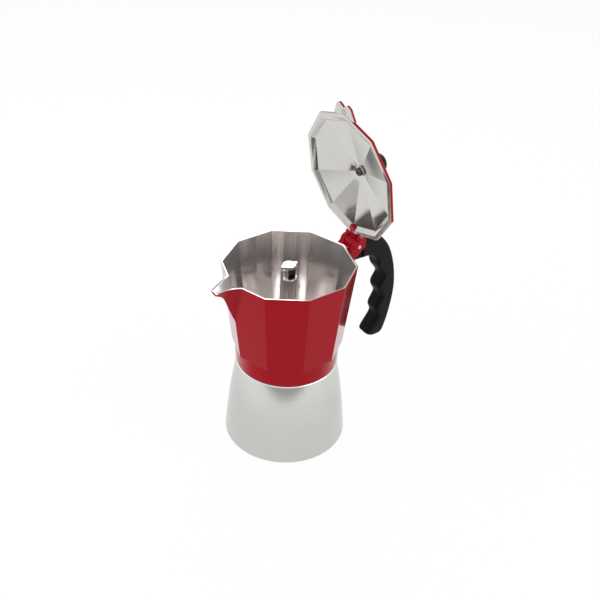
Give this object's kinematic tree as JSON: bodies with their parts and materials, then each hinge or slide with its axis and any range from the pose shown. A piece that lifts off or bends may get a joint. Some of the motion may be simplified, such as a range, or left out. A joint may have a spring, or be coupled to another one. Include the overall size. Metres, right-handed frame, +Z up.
{
  "type": "moka pot",
  "caption": "Stove-top moka pot: round boiler, faceted red jug with spout and column, hinged lid with knob, black finger-grooved handle, funnel, gasket, filter and safety valve.",
  "frame": {"origin": "centre of the boiler's flat base, on the surface that the pot stands on", "axes": "+Z up along the pot's axis, +X towards the handle and hinge, -X towards the spout, +Y towards the valve"},
  "size_m": [0.1792, 0.1115, 0.2935],
  "materials": {
    "cast_aluminium": "satin cast and turned aluminium",
    "sheet_aluminium": "fine matt pressed aluminium",
    "red_lacquer": "cast aluminium with gloss red lacquer outside, bare inside and on the rim",
    "black_moulding": "fine-grained black moulded plastic",
    "steel": "bright zinc-plated steel",
    "brass": "machined brass",
    "white_rubber": "soft white food-grade rubber",
    "red_fibre": "dull red fibre seal"
  },
  "bodies": {
    "base": {"boiler": "cast_aluminium", "valve_body": "brass", "valve_washer": "red_fibre", "valve_cap": "brass", "valve_spring": "steel"},
    "plunger": {"valve_poppet": "brass"},
    "basket": {"funnel": "sheet_aluminium", "funnel_screen": "sheet_aluminium"},
    "seal": {"gasket": "white_rubber", "filter_plate": "sheet_aluminium"},
    "jug": {"collector": "red_lacquer", "handle": "black_moulding", "handle_screw": "steel", "handle_washer": "steel", "hinge_pin": "steel"},
    "lid": {"lid": "red_lacquer", "knob": "black_moulding", "knob_insert": "brass", "knob_screw": "steel", "knob_washer": "steel"}
  },
  "joints": [
    {"name": "basket_lift", "type": "slide", "parent": "base", "child": "basket", "axis": [0, 0, 1], "range_m": [0, 0.1]},
    {"name": "jug_rise", "type": "slide", "parent": "basket", "child": "seal", "axis": [0, 0, 1], "range_m": [0, 0.0101]},
    {"name": "jug_turn", "type": "hinge", "parent": "seal", "child": "jug", "pos_m": [0, 0, 0.088], "axis": [0, 0, 1], "range_deg": [0, 1200]},
    {"name": "lid_hinge", "type": "hinge", "parent": "jug", "child": "lid", "pos_m": [0.0632, 0, 0.168], "axis": [0, 1, 0], "range_deg": [-81, 19]},
    {"name": "valve_push", "type": "slide", "parent": "base", "child": "plunger", "axis": [0, 1, 0], "range_m": [0, 0.0015], "stiffness_N_per_m": 400, "springref_m": -0.003, "deforming": ["valve_spring"]}
  ],
  "couplings": [
    {"joint": "jug_rise", "follows": "jug_turn", "m_per_rad": 0.00047746}
  ]
}
